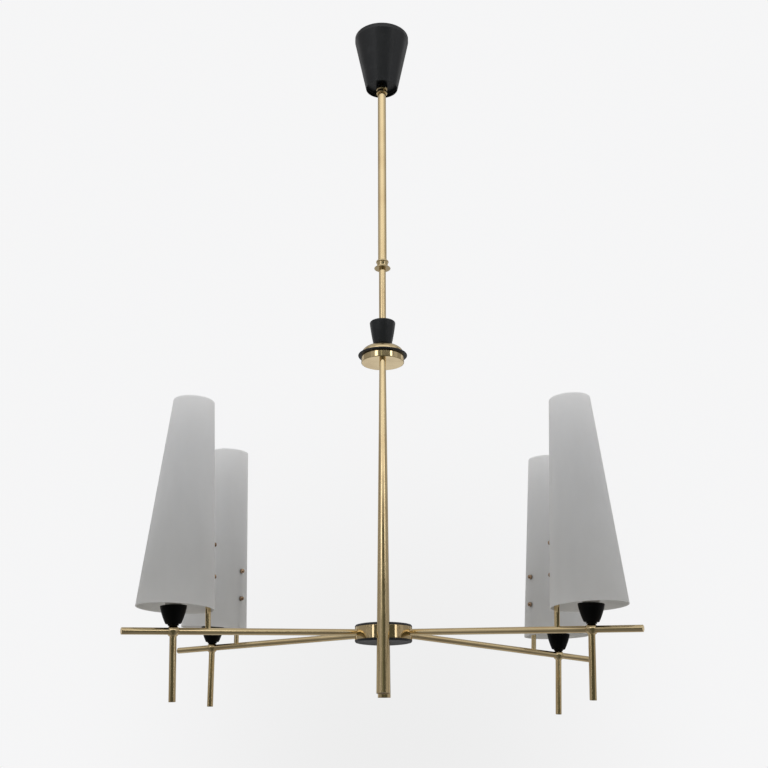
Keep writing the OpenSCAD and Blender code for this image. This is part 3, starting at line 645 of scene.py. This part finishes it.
def make_hub():
    """Brass band between two shallow black caps."""
    bottom = low("hub_band").z
    top = high("hub_band").z
    wall = 2.5 * MM
    turned(
        "hub_brass_band", pipe(bottom, top, HUB_R, HUB_R - wall, 0.35 * MM),
        "lamp", "polished_brass", ["hub_band"], segments=192,
    )
    edge = 2.4 * MM
    rise = 3.8 * MM
    rounding = 1.2 * MM
    under = 0.6 * MM
    lip_depth = 2 * MM
    inside = HUB_R - wall - 0.2 * MM
    lip_inside = inside - 1.5 * MM
    rows = 20
    outline = [(0, under), (0, edge + rise)]
    for k in range(1, rows + 1):
        x = (HUB_R - rounding) * k / rows
        outline.append((x, edge + rise * math.sqrt(1 - (x / HUB_R) ** 2)))
    outline += arc(HUB_R - rounding, edge - rounding, rounding, 55, 0)
    outline += [(HUB_R, 0.1 * MM), (inside, 0.1 * MM), (inside, -lip_depth)]
    outline += [(lip_inside, -lip_depth), (lip_inside, under)]
    for name, matrix in (("top", at(z=top)), ("bottom", at(z=bottom) @ FLIP)):
        piece = lathe(f"hub_black_{name}_cap", outline, MATERIALS["black_lacquer"], segments=160)
        place(piece, matrix, "lamp", "black_lacquer", f"hub_{name}_cap")


# ---- Arms and lamp holders ----


def make_arm(name, matrix):
    """Arm, ball and drop rod."""
    turned(
        "brass_arm_" + name, rod(ARM_TIP_X - ARM_START_X, ARM_R, 0.7 * MM), "lamp", "polished_brass",
        ["arm_" + name], matrix @ at(x=ARM_START_X) @ LIE, segments=64,
    )
    foot = math.degrees(math.asin(BALL_FLAT / BALL_R))
    outline = [(0, -BALL_R)] + arc(0, 0, BALL_R, -88, foot, 40)
    outline += [(BALL_R * math.cos(math.radians(foot)) - 0.4 * MM, BALL_FLAT), (0, BALL_FLAT)]
    piece = lathe("brass_ball_" + name, outline, MATERIALS["polished_brass"], segments=80)
    place(piece, matrix @ at(x=BALL_X), "lamp", "polished_brass", "ball_" + name)
    turned(
        "brass_drop_rod_" + name, rod(DROP_LENGTH - DROP_START, ARM_R, 0.7 * MM), "lamp", "polished_brass",
        ["drop_rod_" + name], matrix @ at(x=BALL_X, z=-DROP_START) @ FLIP, segments=64,
    )


def make_cup(name, matrix):
    """Black cup on a short neck, with the lamp holder in it."""
    bore = 5 * MM
    floor = 2.2 * MM
    rows = 24
    outline = [(bore, -CUP_NECK), (CUP_NECK_R - 0.3 * MM, -CUP_NECK), (CUP_NECK_R, -CUP_NECK + 0.3 * MM)]
    outline += [(CUP_NECK_R, -0.2 * MM), (CUP_LOW_R - 0.5 * MM, 0)]

    def side(t):
        return CUP_LOW_R + (CUP_TOP_R - CUP_LOW_R) * t + CUP_BULGE * 4 * t * (1 - t)

    outline += [(side(k / rows), 0.4 * MM + (CUP_HEIGHT - 0.8 * MM) * k / rows) for k in range(rows + 1)]
    outline += [(side(1) - 0.5 * MM, CUP_HEIGHT), (side(1) - CUP_WALL, CUP_HEIGHT - 0.3 * MM)]
    for k in range(rows, -1, -1):
        t = (floor + (CUP_HEIGHT - floor) * k / (rows + 1)) / CUP_HEIGHT
        outline.append((side(t) - CUP_WALL, CUP_HEIGHT * t))
    outline += [(bore, floor)]
    piece = lathe("black_cup_" + name, outline, MATERIALS["black_cup"], segments=112)
    place(piece, matrix @ at(x=BALL_X, z=CUP_Z), "lamp", "black_cup", "cup_" + name)

    base_r = 8.5 * MM
    base_h = 8 * MM
    rim = HOLDER_HEIGHT
    rim_r = HOLDER_R - 1 * MM
    well = rim - THREAD_DEPTH
    well_r = THREAD_R + 0.9 * MM
    wire_hole = 3 * MM
    corners = [
        (bore, 0, 0.2 * MM), (base_r, 0, 0.5 * MM), (base_r, base_h, 0.5 * MM),
        (HOLDER_R, base_h, 0.9 * MM), (HOLDER_R, rim - 6 * MM, 0.4 * MM), (rim_r, rim - 5 * MM, 0.4 * MM),
        (rim_r, rim, 1.2 * MM), (well_r, rim, 0.6 * MM), (well_r, well, 0),
        (wire_hole, well, 0.2 * MM), (wire_hole, base_h, 0.2 * MM), (bore, base_h, 0),
    ]
    stand = matrix @ at(x=BALL_X, z=HOLDER_Z)
    turned("lamp_holder_" + name, corners, "lamp", "lamp_holder_plastic", ["socket_" + name], stand)
    make_thread(name, stand, well, rim)
    contact = [(0, 0, 0), (3.6 * MM, 0, 0.2 * MM), (3.6 * MM, 0.6 * MM, 0.2 * MM)]
    contact += [(1.6 * MM, 0.6 * MM, 0.2 * MM), (1.2 * MM, 1.8 * MM, 0.6 * MM), (0, 1.9 * MM, 0)]
    turned(
        "centre_contact_" + name, contact, "lamp", "aged_brass", (),
        stand @ at(z=well), material=MATERIALS["aged_brass"], segments=48,
    )


def make_thread(name, stand, well, rim):
    """Brass sleeve that takes the lamp, with its rolled thread as rings."""
    pitch = 2.8 * MM
    depth = 0.35 * MM
    steps = 60
    span = rim - 1 * MM - well
    heights = [well + 0.1 * MM + span * k / steps for k in range(steps + 1)]
    crest = THREAD_R + 0.1 * MM
    back = THREAD_R + 0.85 * MM
    outline = [(crest + depth * (0.5 + 0.5 * math.cos(2 * math.pi * z / pitch)), z) for z in heights]
    outline += [(back, heights[-1]), (back, heights[0])]
    piece = lathe("lamp_thread_" + name, outline, MATERIALS["aged_brass"], segments=64, sharp=60)
    place(piece, stand, "lamp", "aged_brass")


# ---- Shades ----


def make_shade(name, matrix):
    """Conical opal glass shade with a ground lower edge and a melted upper edge."""
    slope = (SHADE_LOW_R - SHADE_TOP_R) / SHADE_LENGTH
    shoulder = 2.1 * MM
    outline = [(SHADE_LOW_R - SHADE_WALL + 0.4 * MM, 0), (SHADE_LOW_R - 0.4 * MM, 0)]
    rows = 24
    outline += [
        (SHADE_LOW_R - slope * z, z)
        for z in [0.4 * MM + (SHADE_LENGTH - shoulder - 0.4 * MM) * k / rows for k in range(rows + 1)]
    ]
    crown = SHADE_LENGTH - shoulder
    outline += arc(SHADE_TOP_R - shoulder + 0.17 * MM, crown, shoulder, 8, 96, 8)
    inside = SHADE_TOP_R - SHADE_WALL
    outline += [(inside + 0.1 * MM, SHADE_LENGTH - 0.7 * MM)]
    outline += [
        (SHADE_LOW_R - SHADE_WALL - slope * z, z)
        for z in [0.4 * MM + (SHADE_LENGTH - 1.6 * MM) * k / rows for k in range(rows, -1, -1)]
    ]
    piece = lathe("glass_shade_" + name, outline, MATERIALS["opal_glass"], segments=160)
    stand = matrix @ at(x=SHADE_WALL_X, z=SHADE_LIFT) @ Matrix.Rotation(-SHADE_LEAN, 4, "Y")
    place(piece, stand @ at(x=SHADE_LOW_R), "lamp", "opal_glass", "shade_" + name)


def make_post(name, matrix):
    """Post that carries a shade, with its two screws and their washers."""
    foot = ARM_R * 0.55
    corners = [(0, foot, 0), (POST_R, foot, 0), (POST_R, POST_HEIGHT, 0.8 * MM), (0, POST_HEIGHT, 0)]
    turned(
        "shade_post_" + name, corners, "lamp", "polished_brass", ["shade_posts"],
        matrix @ at(x=POST_X), segments=48,
    )
    head_r = 3.5 * MM
    dome_h = 2.45 * MM
    side_h = 5.5 * MM - dome_h
    washer = 0.6 * MM
    washer_r = 4.3 * MM
    shank = 2 * MM
    tip = -8 * MM
    for number, height in zip(("lower", "upper"), SCREW_HEIGHTS):
        outward = matrix @ at(x=SHADE_WALL_X, z=height) @ LIE @ FLIP
        outline = [(0, tip), (shank, tip), (shank, washer), (head_r - 0.6 * MM, washer)]
        outline += [(head_r - 0.1 * MM, washer + 0.3 * MM), (head_r, washer + 0.8 * MM)]
        outline += [
            (head_r * math.cos(a), washer + side_h + dome_h * math.sin(a))
            for a in (math.radians(7.5 * k) for k in range(12))
        ]
        outline += [(0, washer + side_h + dome_h)]
        piece = lathe(f"shade_screw_{number}_{name}", outline, SCREW_BRASS, segments=48)
        place(piece, outward, "lamp", "polished_brass", "shade_screws")
        ring = pipe(0.02 * MM, washer, washer_r, shank + 0.1 * MM, 0.15 * MM)
        turned(
            f"shade_washer_{number}_{name}", ring, "lamp", "terminal_plastic", (),
            outward, material=WASHER_FIBRE, segments=48,
        )


# ---- Studio ----


def make_floor():
    """Pale floor of the room, well under the lamp. Only the camera sees it."""
    floor_r = 30
    below_lamp = 1.25
    mesh = bmesh.new()
    bmesh.ops.create_circle(mesh, cap_ends=True, radius=floor_r, segments=96)
    data = bpy.data.meshes.new("floor")
    mesh.to_mesh(data)
    mesh.free()
    material, nodes = new_material("pale_floor")
    drift = nodes.step(nodes.noise(0.8, 3), 0.3, 0.7)
    nodes.finish(
        Base_Color=nodes.blend(drift, (0.78, 0.78, 0.78, 1), (0.76, 0.76, 0.76, 1)),
        Roughness=0.8,
        Emission_Color=(1, 1, 1, 1),
        Emission_Strength=0.2,
    )
    data.materials.append(material)
    floor = bpy.data.objects.new("floor", data)
    floor.location.z = cad_bounds[0].z - below_lamp
    floor.visible_diffuse = False
    floor.visible_glossy = False
    bpy.context.scene.collection.objects.link(floor)


class Room:
    """Brightness of the room by direction, built up layer by layer. Angles are in degrees.

    Azimuth 0 is towards the camera (-Y) and 90 towards +X; elevation is above the horizon.
    """

    def __init__(self, nodes, base):
        self.nodes = nodes
        direction = nodes.add("ShaderNodeTexCoord").outputs["Generated"]
        self.x, self.y, self.rise = nodes.add("ShaderNodeSeparateXYZ", Vector=direction).outputs
        to_degrees = 180 / math.pi
        turn = nodes.math("ARCTAN2", self.x, nodes.math("MULTIPLY", self.y, -1.0))
        self.azimuth = nodes.math("MULTIPLY", turn, to_degrees)
        self.elevation = nodes.math("MULTIPLY", nodes.math("ARCSINE", self.rise), to_degrees)
        self.colour = base

    def window(self, value, start, end, soft):
        """1 from start to end, with soft edges outside it."""
        rising = self.nodes.step(value, start - soft, start)
        falling = self.nodes.step(value, end + soft, end)
        return self.nodes.math("MULTIPLY", rising, falling)

    def light(self, level, azimuth, elevation, soft, tint):
        """Covers a patch of the room, azimuth and elevation each as (start, end), with one brightness."""
        across = self.window(self.azimuth, *azimuth, soft)
        upward = self.window(self.elevation, *elevation, soft)
        mask = self.nodes.math("MULTIPLY", across, upward)
        colour = tuple(level * t for t in tint)
        self.colour = self.nodes.blend(mask, self.colour, (*colour, 1))


def make_studio():
    """The room, which is one thing to each kind of ray.

    Reflections see the patches below, soft light sees a gradient, and the camera sees a plain backdrop.
    """
    world = bpy.data.worlds.new("studio")
    bpy.context.scene.world = world
    world.use_nodes = True
    nodes = Nodes(world.node_tree)
    room = Room(nodes, (0.27, 0.265, 0.26, 1))
    white = (1, 1, 1)
    olive = (0.95, 1.0, 0.8)
    patches = (
        # brightness, azimuths, elevations, width of the soft edge, tint; a later patch covers an earlier one
        (0.16, (-180, 180), (-90, -24), 6, white),  # ground
        (0.09, (-180, 180), (-14, -3), 3, white),  # dark band under the horizon
        (0.40, (-180, -100), (-62, -30), 5, white),  # ground behind the lamp, both sides
        (0.40, (100, 180), (-62, -30), 5, white),
        (0.68, (-180, -120), (-23, -19), 2.5, white),  # bright band behind the lamp, both sides
        (0.68, (120, 180), (-23, -19), 2.5, white),
        (0.38, (-62, -44), (-8, 22), 5, white),  # upright strips at the front, both sides
        (0.38, (68, 84), (-8, 22), 5, white),
        (0.60, (-140, -126), (-8, 40), 5, white),  # upright strips at the back, both sides
        (0.60, (122, 136), (-8, 40), 5, white),
        (0.08, (-16, 44), (-70, 20), 5, olive),  # dark behind the camera
        (0.08, (-50, 54), (-20, 7), 3, olive),  # dark low behind the camera, wider
        (0.42, (-8, -4), (8, 20), 2, olive),  # a thin line of light in that dark
        (0.45, (-180, 180), (50, 90), 12, white),  # ceiling
        (0.62, (-85, 85), (24, 48), 3, white),  # wide window high at the front
        (0.98, (-42, 42), (23, 48), 2, white),  # its brightest part
        (2.2, (-40, -27), (18, 22), 2, white),  # small lamps below the window, both sides
        (2.2, (43, 52), (18, 22), 2, white),
        (1.8, (-45, -39), (5, 7), 1.5, white),  # smaller lamps near the horizon, both sides
        (1.8, (48, 54), (5, 7), 1.5, white),
    )
    for patch in patches:
        room.light(*patch)
    across = nodes.math("ABSOLUTE", room.x)
    middle = nodes.step(across, 0.30, 0.02)
    shadow = nodes.math("MULTIPLY", middle, nodes.step(room.rise, 0.36, 0.0))
    backdrop = nodes.blend(shadow, (0.918, 0.918, 0.923, 1), (0.850, 0.850, 0.850, 1))
    path = nodes.add("ShaderNodeLightPath").outputs
    above = nodes.blend(nodes.step(room.rise, 0.0, 1.0), (0.62, 0.62, 0.62, 1), (0.84, 0.84, 0.84, 1))
    soft = nodes.blend(nodes.step(room.rise, 0.0, -0.3), above, (0.44, 0.43, 0.42, 1))
    shone = nodes.blend(path["Is Glossy Ray"], soft, room.colour)
    colour = nodes.blend(path["Is Camera Ray"], shone, backdrop)
    surface = nodes.add("ShaderNodeBackground", Color=colour, Strength=1.0)
    nodes.add("ShaderNodeOutputWorld", Surface=surface.outputs[0])
    bpy.context.scene.view_settings.view_transform = "Standard"
    bpy.context.scene.view_settings.look = "None"


def make_overhead_light():
    """A wide soft light above and in front of the lamp. It lights surfaces, but shows in no reflection."""
    data = bpy.data.lights.new("overhead", "AREA")
    data.shape = "RECTANGLE"
    data.size = 1.6
    data.size_y = 1.0
    data.energy = 1.5
    light = bpy.data.objects.new("overhead", data)
    light.location = (0, -0.9, cad_bounds[1].z + 0.1)
    light.visible_camera = False
    light.visible_glossy = False
    bpy.context.scene.collection.objects.link(light)


def build():
    make_camera()
    paint_cad_nodes()
    make_canopy()
    make_thumb_screw()
    make_stem()
    make_drum()
    make_column("column_front", -1)
    make_column("column_back", 1)
    make_hub()
    for name in ARMS:
        matrix = arm_frame(name)
        make_arm(name, matrix)
        make_cup(name, matrix)
        make_shade(name, matrix)
        make_post(name, matrix)
    make_floor()
    make_studio()
    make_overhead_light()


build()
